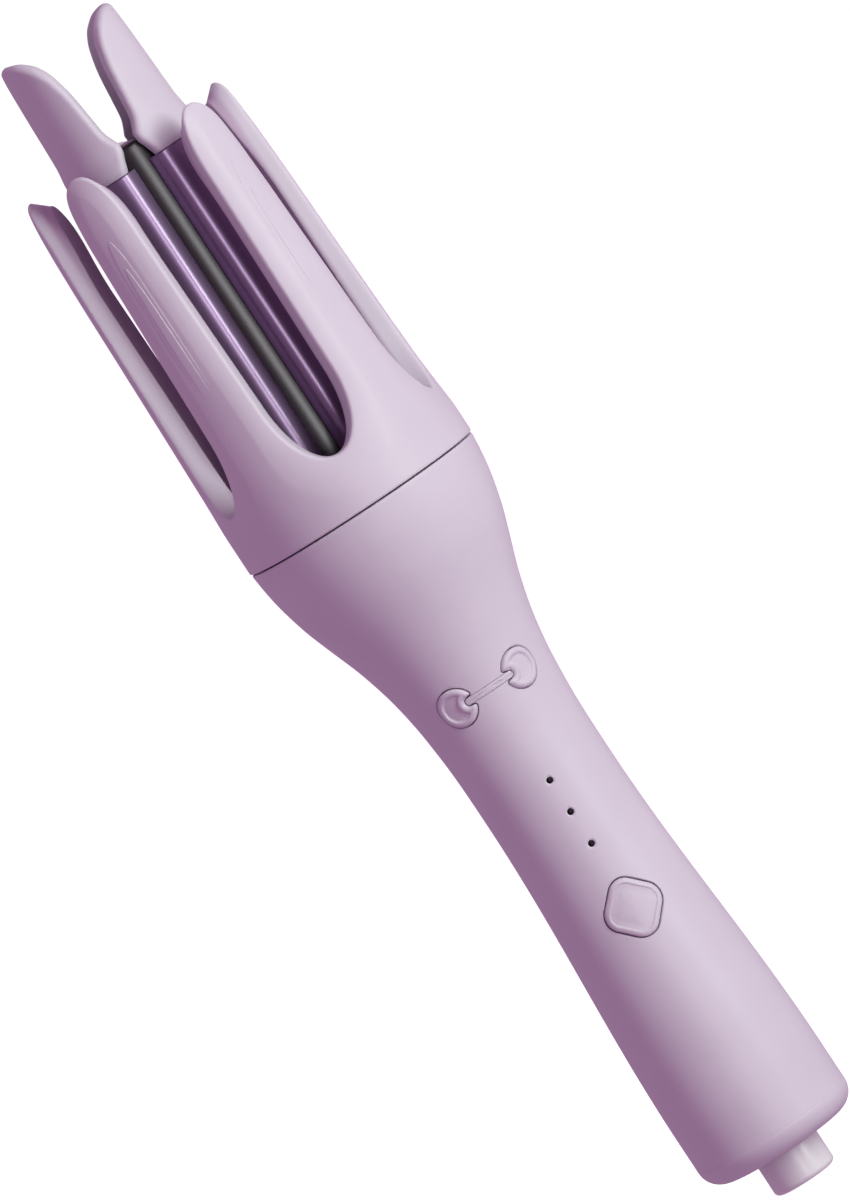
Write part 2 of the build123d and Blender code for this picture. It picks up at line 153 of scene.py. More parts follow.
# ---------------------------------------------------------------------------------------------
# Front handle shell: one half of the handle, moulded in satin lilac plastic with a 2.3 mm wall.
# It meets the rear half along the sides. Its wells take the buttons, the bar and the lights.
# ---------------------------------------------------------------------------------------------
def plastic(name, low, high, roughness, grain_depth, coat=0.0, metallic=0.0, specular=0.5):
    """A finish with fine grain: two close tones, uneven gloss and a shallow bump."""
    material = bpy.data.materials.new(name)
    material.use_nodes = True
    nodes = material.node_tree.nodes
    links = material.node_tree.links
    shader = nodes["Principled BSDF"]
    place = nodes.new("ShaderNodeTexCoord")
    cloud = nodes.new("ShaderNodeTexNoise")
    cloud.inputs["Scale"].default_value = 60
    cloud.inputs["Detail"].default_value = 4
    links.new(place.outputs["Object"], cloud.inputs["Vector"])
    ramp = nodes.new("ShaderNodeValToRGB")
    ramp.color_ramp.elements[0].position = 0.3
    ramp.color_ramp.elements[0].color = (*low, 1)
    ramp.color_ramp.elements[1].position = 0.7
    ramp.color_ramp.elements[1].color = (*high, 1)
    links.new(cloud.outputs["Fac"], ramp.inputs["Fac"])
    links.new(ramp.outputs["Color"], shader.inputs["Base Color"])
    fine = nodes.new("ShaderNodeTexNoise")
    fine.inputs["Scale"].default_value = 3500
    fine.inputs["Detail"].default_value = 3
    links.new(place.outputs["Object"], fine.inputs["Vector"])
    polish = nodes.new("ShaderNodeMapRange")
    polish.inputs["To Min"].default_value = roughness * 0.88
    polish.inputs["To Max"].default_value = roughness * 1.12
    links.new(fine.outputs["Fac"], polish.inputs["Value"])
    links.new(polish.outputs["Result"], shader.inputs["Roughness"])
    bump = nodes.new("ShaderNodeBump")
    bump.inputs["Strength"].default_value = 0.35
    bump.inputs["Distance"].default_value = grain_depth
    links.new(fine.outputs["Fac"], bump.inputs["Height"])
    links.new(bump.outputs["Normal"], shader.inputs["Normal"])
    shader.inputs["Metallic"].default_value = metallic
    shader.inputs["Specular IOR Level"].default_value = specular
    shader.inputs["Coat Weight"].default_value = coat
    shader.inputs["Coat Roughness"].default_value = 0.18
    return material


lilac = plastic("lilac_satin", (0.59, 0.53, 0.615), (0.61, 0.55, 0.635), 0.46, 0.00002, specular=0.32)
MM = 0.001
heights = [25, 48, 73, 98, 118, 133, 143, 148, 153, 158, 163, 168, 173, 178, 183, 188, 193, 198, 203]
radii = [21.9, 21.34, 19.95, 18.52, 18.1, 18.3, 18.98, 19.5, 20.25, 21.2, 22.45, 23.9, 25.65, 27.45,
         29.15, 30.5, 31.6, 32.35, 32.85]


def handle_radius(z):
    if z <= 118:
        share = (1 - math.cos(math.pi * min(1, (118 - max(z, 25)) / 93))) / 2
        return 18.1 + 3.8 * share
    i = max(j for j in range(len(heights) - 1) if heights[j] <= z or j == 0)
    i = min(i, len(heights) - 2)
    x0, x1 = heights[i], heights[i + 1]
    y0, y1 = radii[i], radii[i + 1]
    m0 = (y1 - radii[i - 1]) / (x1 - heights[i - 1])
    if i == 4:
        m0 = 0
    if i + 2 < len(heights):
        m1 = (radii[i + 2] - y0) / (heights[i + 2] - x0)
    else:
        m1 = (y1 - y0) / (x1 - x0)
    h = x1 - x0
    t = (z - x0) / h
    return ((2 * t**3 - 3 * t**2 + 1) * y0 + (t**3 - 2 * t**2 + t) * h * m0
            + (-2 * t**3 + 3 * t**2) * y1 + (t**3 - t**2) * h * m1)


def wrapped(u, v, h, azimuth, height):
    """A point u across, v up and h out along the button's own line of travel, in metres."""
    facing = math.radians(azimuth)
    angle = facing + u / handle_radius(height)
    r = handle_radius(height + v)
    x = r * math.sin(angle) + h * math.sin(facing)
    y = -r * math.cos(angle) - h * math.cos(facing)
    return Vector((x, y, height + v)) * MM


def spun(name, profile, steps=128, start=0.0, sweep=2 * math.pi):
    """A profile of (radius, height) turned about the axis; closed if the sweep is a full turn."""
    data = bpy.data.meshes.new(name)
    points = [(r * MM * math.sin(start), -r * MM * math.cos(start), z * MM) for r, z in profile]
    data.from_pydata(points, [(i, i + 1) for i in range(len(points) - 1)], [])
    piece = bpy.data.objects.new(name, data)
    bpy.context.collection.objects.link(piece)
    bpy.ops.object.select_all(action="DESELECT")
    piece.select_set(True)
    bpy.context.view_layer.objects.active = piece
    bpy.ops.object.mode_set(mode="EDIT")
    bpy.ops.mesh.select_all(action="SELECT")
    bpy.ops.mesh.spin(steps=steps, angle=sweep, center=(0, 0, 0), axis=(0, 0, 1))
    bpy.ops.mesh.select_all(action="SELECT")
    bpy.ops.mesh.remove_doubles(threshold=0.000002)
    if sweep < 6:
        bpy.ops.mesh.select_all(action="DESELECT")
        bpy.ops.mesh.select_non_manifold(extend=False, use_wire=False, use_boundary=True,
                                         use_multi_face=False, use_non_contiguous=False,
                                         use_verts=False)
        bpy.ops.mesh.fill()
        bpy.ops.mesh.select_all(action="SELECT")
    bpy.ops.mesh.normals_make_consistent(inside=False)
    bpy.ops.object.mode_set(mode="OBJECT")
    return piece


def finished(piece, material, body, nodes, angle=40):
    """Smooth shading and one material, then the body and the nodes the piece stands for."""
    bpy.ops.object.select_all(action="DESELECT")
    piece.select_set(True)
    bpy.context.view_layer.objects.active = piece
    bpy.ops.object.shade_smooth_by_angle(angle=math.radians(angle))
    piece.data.materials.clear()
    piece.data.materials.append(material)
    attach(piece, body)
    if nodes:
        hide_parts(*nodes)


def ringed(name, rings, place):
    """Closed solid from outline rings of (u, v, h), the last one gathered to a point."""
    count = len(rings[0])
    points = [place(*p) for ring in rings for p in ring]
    faces = []
    for k in range(len(rings) - 1):
        for i in range(count):
            j = (i + 1) % count
            faces.append((k * count + i, k * count + j, (k + 1) * count + j, (k + 1) * count + i))
    last = (len(rings) - 1) * count
    centre = [sum(p[a] for p in rings[-1]) / count for a in range(3)]
    points.append(place(*centre))
    for i in range(count):
        faces.append((last + i, last + (i + 1) % count, len(points) - 1))
    base = [sum(p[a] for p in rings[0]) / count for a in range(3)]
    points.append(place(*base))
    for i in range(count):
        faces.append(((i + 1) % count, i, len(points) - 1))
    data = bpy.data.meshes.new(name)
    data.from_pydata(points, [], faces)
    piece = bpy.data.objects.new(name, data)
    bpy.context.collection.objects.link(piece)
    bpy.ops.object.select_all(action="DESELECT")
    piece.select_set(True)
    bpy.context.view_layer.objects.active = piece
    bpy.ops.object.mode_set(mode="EDIT")
    bpy.ops.mesh.select_all(action="SELECT")
    bpy.ops.mesh.normals_make_consistent(inside=False)
    bpy.ops.object.mode_set(mode="OBJECT")
    return piece


wall = 2.3
outer = [(handle_radius(16), 16.06), (handle_radius(16.4), 16.35)]
outer += [(handle_radius(z), z) for z in range(17, 202)]
outer += [(handle_radius(202), 202), (handle_radius(202.4), 202.4), (handle_radius(202.5) - 0.12, 202.68),
          (handle_radius(202.5) - 0.4, 202.8)]
inner = [(handle_radius(z) - wall, z) for z in (202.8, 198, 193, 188, 183, 178, 173, 168, 163, 158, 148,
                                              138, 128, 118, 98, 78, 58, 38, 18, 16)]
profile = [(handle_radius(16) - 0.05, 16.0)] + outer + inner + [(handle_radius(16) - 0.05, 16.0)]
# The spin runs clockwise seen from above, so the front half starts at +X and the rear half at -X.
front = spun("handle_front", profile, 112, math.pi / 2, math.pi)

# Power button outline: a square with wide round corners, stood on one corner
side = 13.8
corner = 4.3
square = []
for quarter in range(4):
    for step in range(24):
        angle = math.radians(quarter * 90 + step * 90 / 23)
        cx = (side / 2 - corner) * (1 if quarter in (0, 3) else -1)
        cy = (side / 2 - corner) * (1 if quarter in (0, 1) else -1)
        x = cx + corner * math.cos(angle)
        y = cy + corner * math.sin(angle)
        square.append(((x - y) * math.sqrt(0.5), (x + y) * math.sqrt(0.5)))


def grown(outline, distance):
    """The outline moved outwards by a distance along its own normals."""
    count = len(outline)
    result = []
    for i, (x, y) in enumerate(outline):
        ax, ay = outline[i - 1]
        bx, by = outline[(i + 1) % count]
        tx, ty = bx - ax, by - ay
        length = math.hypot(tx, ty) or 1
        result.append((x + ty / length * distance, y - tx / length * distance))
    return result


# Crescent outline: a disc with a round-ended notch on its +u side
crescent_radius = 5.15
notch_half = 1.25
notch_middle = 3.65


def crescent(side):
    outline = []
    mouth = math.asin(notch_half / crescent_radius)
    for step in range(73):
        angle = mouth + 0.10 + (2 * math.pi - 2 * mouth - 0.20) * step / 72
        outline.append((crescent_radius * math.cos(angle), crescent_radius * math.sin(angle)))
    lip = 0.45
    for step in range(1, 6):
        angle = -mouth - 0.10
        outline_x = crescent_radius * math.cos(angle) - lip * (1 - math.cos(math.pi * step / 12)) * 1.2
        outline_y = -notch_half - 0.36 + 0.36 * math.sin(math.pi / 2 * step / 6)
        outline.append((outline_x - 0.12 * step, outline_y))
    for step in range(17):
        angle = -math.pi / 2 - math.pi * step / 16
        outline.append((notch_middle + notch_half * math.cos(angle), notch_half * math.sin(angle)))
    for step in range(5, 0, -1):
        angle = -mouth - 0.10
        outline_x = crescent_radius * math.cos(angle) - lip * (1 - math.cos(math.pi * step / 12)) * 1.2
        outline_y = notch_half + 0.36 - 0.36 * math.sin(math.pi / 2 * step / 6)
        outline.append((outline_x - 0.12 * step, outline_y))
    if side < 0:
        return outline
    return [(-x, y) for x, y in reversed(outline)]


def well(name, outline, place, gap=0.28, flare=0.32, depth=6.0):
    """Cutter for a hole a little larger than the piece in it, with a softened mouth."""
    rings = []
    for distance, height in ((gap, -depth), (gap, -0.30), (gap + flare * 0.35, -0.12), (gap + flare, 0.04),
                             (gap + flare, 3)):
        rings.append([(x, y, height) for x, y in grown(outline, distance)])
    return ringed(name, rings, place)


# Bar outline: a long strip with round ends that lie in the notches of the two crescents
crescent_height = 148
crescent_turn = 29
bar_half = 0.9
bar = []
reach = math.radians(crescent_turn) * handle_radius(crescent_height) - notch_middle
for step in range(25):
    angle = math.radians(-90 + 180 * step / 24)
    bar.append((reach + bar_half * math.cos(angle), bar_half * math.sin(angle)))
for k in range(1, 20):
    bar.append((reach - 2 * reach * k / 20, bar_half))
for step in range(25):
    angle = math.radians(90 + 180 * step / 24)
    bar.append((-reach + bar_half * math.cos(angle), bar_half * math.sin(angle)))
for k in range(1, 20):
    bar.append((-reach + 2 * reach * k / 20, -bar_half))

power_height = 82.5
light_heights = (101.5, 111.0, 120.4)
cutters = [well("cut_power", square, lambda u, v, h: wrapped(u, v, h, 0, power_height))]
for direction in (-1, 1):
    cutters.append(well("cut_direction", crescent(direction),
                        lambda u, v, h, s=direction: wrapped(u, v, h, s * crescent_turn, crescent_height)))
cutters.append(well("cut_bar", bar, lambda u, v, h: wrapped(u, v, h, 0, crescent_height),
                    0.06, 0.10, 1.0))
for height in light_heights:
    dot = [(0.8 * math.cos(math.radians(a)), 0.8 * math.sin(math.radians(a))) for a in range(0, 360, 10)]
    cutters.append(well("cut_light", dot, lambda u, v, h, z=height: wrapped(u, v, h, 0, z), 0.05, 0.38))
for cutter in cutters:
    bpy.ops.object.select_all(action="DESELECT")
    front.select_set(True)
    bpy.context.view_layer.objects.active = front
    cut = front.modifiers.new("well", "BOOLEAN")
    cut.operation = "DIFFERENCE"
    cut.solver = "EXACT"
    cut.object = cutter
    bpy.ops.object.modifier_apply(modifier="well")
    bpy.data.objects.remove(cutter)
finished(front, lilac, "handle", ["handle_front_shell"], 35)

# ---------------------------------------------------------------------------------------------
# Rear handle shell: the plain half of the same lilac moulding. Four screws in sunk holes draw
# it against the front half.
# ---------------------------------------------------------------------------------------------
rear = spun("handle_rear", profile, 112, -math.pi / 2, math.pi)
screw_hole = 2.2
for x in (-12.5, 12.5):
    for z in (45, 132):
        bpy.ops.mesh.primitive_cylinder_add(vertices=40, radius=screw_hole * MM, depth=0.02,
                                            location=(x * MM, 0.018, z * MM),
                                            rotation=(math.radians(90), 0, 0))
        hole = bpy.context.object
        bpy.context.view_layer.objects.active = rear
        cut = rear.modifiers.new("hole", "BOOLEAN")
        cut.operation = "DIFFERENCE"
        cut.solver = "EXACT"
        cut.object = hole
        bpy.ops.object.select_all(action="DESELECT")
        rear.select_set(True)
        bpy.ops.object.modifier_apply(modifier="hole")
        bpy.data.objects.remove(hole)
finished(rear, lilac, "handle", ["handle_rear_shell"], 35)

# ---------------------------------------------------------------------------------------------
# End cap: a shallow lilac cup with a well rounded edge. Its spigot is pushed into the butt of
# the two shells, and the round hole in its floor carries the cord gland.
# ---------------------------------------------------------------------------------------------
end_radius = 21.9
rounding = 5.9
cap = [(6.8, 12.6), (6.8, 10.25), (7.05, 10.0)]
for step in range(13):
    angle = math.radians(90 * step / 12)
    cap.append((end_radius - rounding + rounding * math.sin(angle), 15.9 - rounding * math.cos(angle)))
cap += [(21.88, 15.97), (21.84, 16.0), (19.5, 16.0), (19.5, 20), (17.6, 20), (17.6, 12.6), (6.8, 12.6)]
finished(spun("end_cap_cover", cap, 160), lilac, "handle", ["end_cap"])

# ---------------------------------------------------------------------------------------------
# Cord gland: a short pale plastic sleeve that turns in the end cap. Its wide inner flange keeps
# it from being pulled out, and the mains cord passes through its bore.
# ---------------------------------------------------------------------------------------------
pearl = plastic("pearl_plastic", (0.68, 0.67, 0.69), (0.72, 0.71, 0.73), 0.38, 0.00002, coat=0.1)
gland = [(3.4, 15.4), (3.4, 0.5), (3.9, 0.0), (7.2, 0.0)]
for step in range(1, 9):
    angle = math.radians(90 * step / 8)
    gland.append((7.35 + 1.4 * math.sin(angle), 1.4 - 1.4 * math.cos(angle)))
gland += [(8.75, 8.9), (8.6, 9.4), (8.2, 9.7), (6.5, 9.7), (6.5, 12.9), (9, 12.9), (9, 15.4), (3.4, 15.4)]
finished(spun("cord_gland", gland, 96), pearl, "cord_swivel", ["cord_swivel"])

# ---------------------------------------------------------------------------------------------
# Power button: a soft-cornered square stood on one corner, in the lilac of the handle, with a
# rim round a shallow dish. A lip below the shell holds it in, and it presses straight inwards.
# ---------------------------------------------------------------------------------------------
rings = [[(x, y, -4.2) for x, y in grown(square, 1.0)], [(x, y, -3.1) for x, y in grown(square, 1.0)]]
for inset, height in ((0.0, -3.1), (0.0, 0.05), (0.06, 0.26), (0.2, 0.44), (0.45, 0.57), (0.85, 0.66),
                      (1.15, 0.69), (1.3, 0.62), (1.45, 0.50), (1.62, 0.45), (3.2, 0.46)):
    rings.append([(x, y, height) for x, y in grown(square, -inset)])
for share in (0.45, 0.25, 0.1):
    rings.append([(x * share, y * share, 0.47) for x, y in square])
power = ringed("power_cap", rings, lambda u, v, h: wrapped(u, v, h, 0, power_height))
finished(power, lilac, "power_button", ["power_button"], 60)

# ---------------------------------------------------------------------------------------------
# Direction buttons: two lilac crescents with a raised rim round a shallow dish, notches facing
# each other. A lip below the shell holds each, and it presses in along its own direction.
# ---------------------------------------------------------------------------------------------
for direction, name in ((-1, "left"), (1, "right")):
    outline = crescent(direction)
    centre = (direction * 1.1, 0)
    rings = [[(x, y, -4.2) for x, y in grown(outline, 0.9)], [(x, y, -3.1) for x, y in grown(outline, 0.9)]]
    rings.append([(x, y, -3.1) for x, y in outline])
    for k in range(25):
        share = (k / 26) ** 1.3
        ring = []
        for x, y in outline:
            px = x + (centre[0] - x) * share
            py = y + (centre[1] - y) * share
            near = min(math.hypot(px - a, py - b) for a, b in outline)
            rim = 0.58 * (1 - max(0, 1 - near / 0.85) ** 2.2)
            dip = 0.50 * (1 - math.cos(math.pi * min(1, max(0, (near - 1.25) / 0.75)))) / 2
            ring.append((px, py, 0.02 + rim - dip))
        rings.append(ring)
    cap = ringed("direction_cap_" + name, rings,
                 lambda u, v, h, s=direction: wrapped(u, v, h, s * crescent_turn, crescent_height))
    finished(cap, lilac, "direction_button_" + name, ["direction_button_" + name], 60)

# ---------------------------------------------------------------------------------------------
# Direction bar: a thin lilac strip laid flush in the front shell. Its round ends lie in the
# notches of the two crescents.
# ---------------------------------------------------------------------------------------------
rings = [[(x, y, -0.9) for x, y in bar]]
for inset, height in ((0.0, -0.12), (0.05, -0.03), (0.14, 0.0), (0.45, 0.01)):
    rings.append([(x, y, height) for x, y in grown(bar, -inset)])
rings.append([(x, y * 0.1, 0.012) for x, y in bar])
strip = ringed("direction_strip", rings, lambda u, v, h: wrapped(u, v, h, 0, crescent_height))
finished(strip, lilac, "handle", ["direction_bar"], 60)

# ---------------------------------------------------------------------------------------------
# Lights: three small smoked lenses set a little below the skin of the front shell, above the
# power button. Each has a light chip behind it.
# ---------------------------------------------------------------------------------------------
smoked = plastic("smoked_lens", (0.002, 0.0015, 0.002), (0.004, 0.003, 0.004), 0.3, 0.000001, specular=0.08)
lights = []
for height in light_heights:
    dot = [(0.82 * math.cos(math.radians(a)), 0.82 * math.sin(math.radians(a))) for a in range(0, 360, 10)]
    rings = [[(x, y, -3.0) for x, y in dot], [(x, y, -0.46) for x, y in dot]]
    rings += [[(x * 0.8, y * 0.8, -0.40) for x, y in dot], [(x * 0.4, y * 0.4, -0.36) for x, y in dot]]
    lights.append(ringed("light_window", rings, lambda u, v, h, z=height: wrapped(u, v, h, 0, z)))
bpy.ops.object.select_all(action="DESELECT")
for light in lights:
    light.select_set(True)
bpy.context.view_layer.objects.active = lights[0]
bpy.ops.object.join()
finished(lights[0], smoked, "handle", ["led_windows"], 60)

# ---------------------------------------------------------------------------------------------
# Petal cage: one lilac moulding with five petals round five slots, and a deeper mauve liner
# inside. A ring under its rim locks it to the head. Each half petal is one grid of points,
# swept from the base round the slot to the tip.
# ---------------------------------------------------------------------------------------------
head_heights = [203, 213, 220, 230, 243, 265, 283, 298, 304, 308, 311]
head_radii = [33.05, 33.04, 32.95, 32.72, 32.4, 31.95, 31.6, 31.1, 30.8, 30.45, 30.0]


def along(x, xs, ys):
    """The smooth curve through the points (xs, ys), with no overshoot between them."""
    if x <= xs[0]:
        return ys[0]
    if x >= xs[-1]:
        return ys[-1]
    slopes = [(ys[j + 1] - ys[j]) / (xs[j + 1] - xs[j]) for j in range(len(xs) - 1)]
    tangents = [slopes[0]]
    for before, after in zip(slopes, slopes[1:]):
        tangents.append(2 * before * after / (before + after) if before * after > 0 else 0)
    tangents.append(slopes[-1])
    j = max(j for j in range(len(slopes)) if xs[j] <= x)
    h = xs[j + 1] - xs[j]
    t = (x - xs[j]) / h
    return ((2 * t**3 - 3 * t**2 + 1) * ys[j] + (t**3 - 2 * t**2 + t) * h * tangents[j]
            + (-2 * t**3 + 3 * t**2) * ys[j + 1] + (t**3 - t**2) * h * tangents[j + 1])


def smooth(t):
    t = min(1, max(0, t))
    return t * t * (3 - 2 * t)


half = math.radians(36)
slot_low = math.radians(19.6)
slot_high = math.radians(21.8)
edge_line = []
partner = []
for k in range(45):
    alpha = 90 * k / 44
    a = math.radians(alpha)
    edge_line.append((slot_low * math.sin(a), 238 - 19.8 * math.cos(a)))
    if alpha <= 45:
        partner.append((half * alpha / 45, 203.7))
    else:
        partner.append((half, 203.7 + (238 - 203.7) * ((alpha - 45) / 45)))
base_columns = 23
for k in range(1, 56):
    z = 238 + 53 * k / 55
    edge_line.append((slot_low + (slot_high - slot_low) * k / 55, z))
    partner.append((half, z))
for k in range(1, 41):
    t = k / 40
    b0, b1, b2, b3 = (1 - t) ** 3, 3 * t * (1 - t) ** 2, 3 * t * t * (1 - t), t**3
    angle = b0 * slot_high + b1 * slot_high + b2 * (slot_high + 0.4 * (half - slot_high)) + b3 * half
    z = b0 * 291 + b1 * 306 + b2 * 310.8 + b3 * 310.8
    edge_line.append((angle, z))
    partner.append((half, z))
across = 30
mean_radius = 31.5
flat_edge = [(mean_radius * a, z) for a, z in edge_line]


def nearest(x, z, line, i):
    """Distance from a point on the unrolled surface to an edge line, and the height where it is met."""
    best = 1e9
    where = 0
    for j in range(max(0, i - 45), min(len(line) - 1, i + 46)):
        ax, az = line[j]
        bx, bz = line[j + 1]
        dx, dz = bx - ax, bz - az
        t = ((x - ax) * dx + (z - az) * dz) / (dx * dx + dz * dz)
        t = min(1, max(0, t))
        d = math.hypot(x - ax - t * dx, z - az - t * dz)
        if d < best:
            best = d
            where = az + t * dz
    return best, where


def outer_point(angle, z, i):
    """Radius of a petal's face: a broad bevel towards the slot, a small round at its edge."""
    d, where = nearest(mean_radius * angle, z, flat_edge, i)
    width = 4.9 + 4.8 * smooth((238 - where) / 19.8) ** 1.5
    t = min(1, d / width)
    r = along(z, head_heights, head_radii)
    r -= 1.25 * (1 - 0.55 * smooth((z - 298) / 12)) * (0.50 * (1 - t) + 0.50 * (1 - t) ** 2)
    if d < 0.7:
        r -= 0.7 - math.sqrt(max(0, 0.49 - (0.7 - d) ** 2))
    return r


def inner_z(z):
    return z - 3.2 * smooth((z - 284) / 27)


def inner_radius(z):
    return 25.8 - 1.5 * smooth((z - 280) / 26)


grid = []
for i, ((ea, ez), (pa, pz)) in enumerate(zip(edge_line, partner)):
    row = []
    is_base = i < base_columns
    for k in range(across, -1, -1):
        w = (k / across) ** 1.35
        angle = ea + (pa - ea) * w
        z = ez + (pz - ez) * w
        row.append((outer_point(angle, z, i), angle, z))
    r_out = row[-1][0]
    for k in range(1, 4):
        t = k / 4
        r = r_out + (inner_radius(ez) + 0.65 - r_out) * t
        row.append((r, ea, ez + (inner_z(ez) - ez) * t))
    for k in range(13):
        w = (k / 12) ** 1.5
        angle = ea + (pa - ea) * w
        low = 209.0 if is_base else max(pz, 209.0)
        z = ez + (low - ez) * w
        shift = inner_z(z)
        flat = math.hypot(26 * (angle - ea), z - ez)
        d = min(flat, nearest(mean_radius * angle, z, flat_edge, i)[0])
        r = inner_radius(z)
        if d < 0.65:
            r += 0.65 - math.sqrt(max(0, 0.4225 - (0.65 - d) ** 2))
        row.append((r, angle, shift))
    grid.append(row)

points = []
faces = []
columns = len(grid)
rows = len(grid[0])
for sector in range(5):
    for mirror_side in (-1, 1):
        start = len(points)
        centre = math.radians(72 * sector)
        for row in grid:
            for r, angle, z in row:
                a = centre + mirror_side * angle
                points.append((r * MM * math.sin(a), -r * MM * math.cos(a), z * MM))
        for i in range(columns - 1):
            for k in range(rows - 1):
                a = start + i * rows + k
                b = a + 1
                c = a + rows + 1
                d = a + rows
                faces.append((a, b, c, d) if mirror_side > 0 else (a, d, c, b))
        # rim at the base: rounded outer edge, underside, seat for the ring, up to the inner face
        rim = [(33.0, 203.42), (32.85, 203.26), (32.6, 203.2), (29.4, 203.2), (29.4, 208.9), (25.8, 208.9)]
        previous = [start + i * rows for i in range(base_columns)]
        for r, z in rim:
            current = []
            for i in range(base_columns):
                a = centre + mirror_side * partner[i][0]
                current.append(len(points))
                points.append((r * MM * math.sin(a), -r * MM * math.cos(a), z * MM))
            for i in range(base_columns - 1):
                quad = (previous[i], previous[i + 1], current[i + 1], current[i])
                faces.append(quad if mirror_side > 0 else quad[::-1])
            previous = current
# nested oval plates that stand a hair above each petal's face and fade out downwards
for sector in range(5):
    centre = math.radians(72 * sector + 36)
    for apex, wide, proud in ((293.2, 1.9, 0.13), (285.4, 1.0, 0.24)):
        start = len(points)
        for i in range(71):
            z = apex - 48 * (i / 70) ** 1.5
            below = apex - z
            reach = wide * math.sqrt(1 - (1 - min(1, below / 14)) ** 2) + 0.012 * below + 0.02
            height = proud * smooth((z - 243) / 22)
            for k in range(15):
                w = math.sin(math.pi / 2 * (k - 7) / 7)
                near = min(reach * (1 - abs(w)), below * 0.7)
                drop = (0.22 - math.sqrt(max(0, 0.0484 - (0.22 - near) ** 2))) if near < 0.22 else 0
                drop += 0.4 * max(0, 1 - near / 0.03)
                a = centre + reach * w / mean_radius
                r = along(z, head_heights, head_radii) + height - drop - 0.03
                points.append((r * MM * math.sin(a), -r * MM * math.cos(a), z * MM))
        for i in range(70):
            for k in range(14):
                a = start + i * 15 + k
                faces.append((a, a + 15, a + 16, a + 1))
data = bpy.data.meshes.new("petal_cage_shell")
data.from_pydata(points, [], faces)
cage = bpy.data.objects.new("petal_cage_shell", data)
bpy.context.collection.objects.link(cage)
bpy.ops.object.select_all(action="DESELECT")
cage.select_set(True)
bpy.context.view_layer.objects.active = cage
bpy.ops.object.mode_set(mode="EDIT")
bpy.ops.mesh.select_all(action="SELECT")
bpy.ops.mesh.remove_doubles(threshold=0.000004)
bpy.ops.mesh.normals_make_consistent(inside=False)
bpy.ops.object.mode_set(mode="OBJECT")
# The liner inside the petals is a deeper mauve, so the colour changes inwards of 26.2 mm from the axis
lined = plastic("lilac_with_liner", (0.59, 0.53, 0.615), (0.61, 0.55, 0.635), 0.46, 0.00002, specular=0.32)
nodes = lined.node_tree.nodes
links = lined.node_tree.links
place = next(node for node in nodes if node.bl_idname == "ShaderNodeTexCoord")
ramp = next(node for node in nodes if node.bl_idname == "ShaderNodeValToRGB")
flat = nodes.new("ShaderNodeVectorMath")
flat.operation = "MULTIPLY"
flat.inputs[1].default_value = (1, 1, 0)
links.new(place.outputs["Object"], flat.inputs[0])
reach = nodes.new("ShaderNodeVectorMath")
reach.operation = "LENGTH"
links.new(flat.outputs["Vector"], reach.inputs[0])
inward = nodes.new("ShaderNodeMapRange")
inward.inputs["From Min"].default_value = 0.0262
inward.inputs["From Max"].default_value = 0.0275
inward.inputs["To Min"].default_value = 1
inward.inputs["To Max"].default_value = 0
links.new(reach.outputs["Value"], inward.inputs["Value"])
both = nodes.new("ShaderNodeMix")
both.data_type = "RGBA"
both.inputs[7].default_value = (0.50, 0.385, 0.505, 1)
links.new(inward.outputs["Result"], both.inputs[0])
links.new(ramp.outputs["Color"], both.inputs[6])
links.new(both.outputs[2], nodes["Principled BSDF"].inputs["Base Color"])
finished(cage, lined, "handle", ["petal_cage", "cage_liner"], 50)

# ---------------------------------------------------------------------------------------------
# Barrel core: a black heat-resistant rod that carries the heaters and turns with the barrel,
# closed by a cap below the ears.
# ---------------------------------------------------------------------------------------------
black = plastic("black_gloss", (0.006, 0.004, 0.007), (0.009, 0.006, 0.010), 0.26, 0.000001, specular=0.45)
core_radius = 12.8
core = [(3.0, 211), (core_radius, 211), (core_radius, 308), (core_radius, 309.6), (12.5, 310.2),
        (12.0, 310.5), (3.0, 310.6), (0.01, 310.6)]
finished(spun("barrel_core_rod", core, 96), black, "barrel", ["barrel_core", "core_cap"], 40)

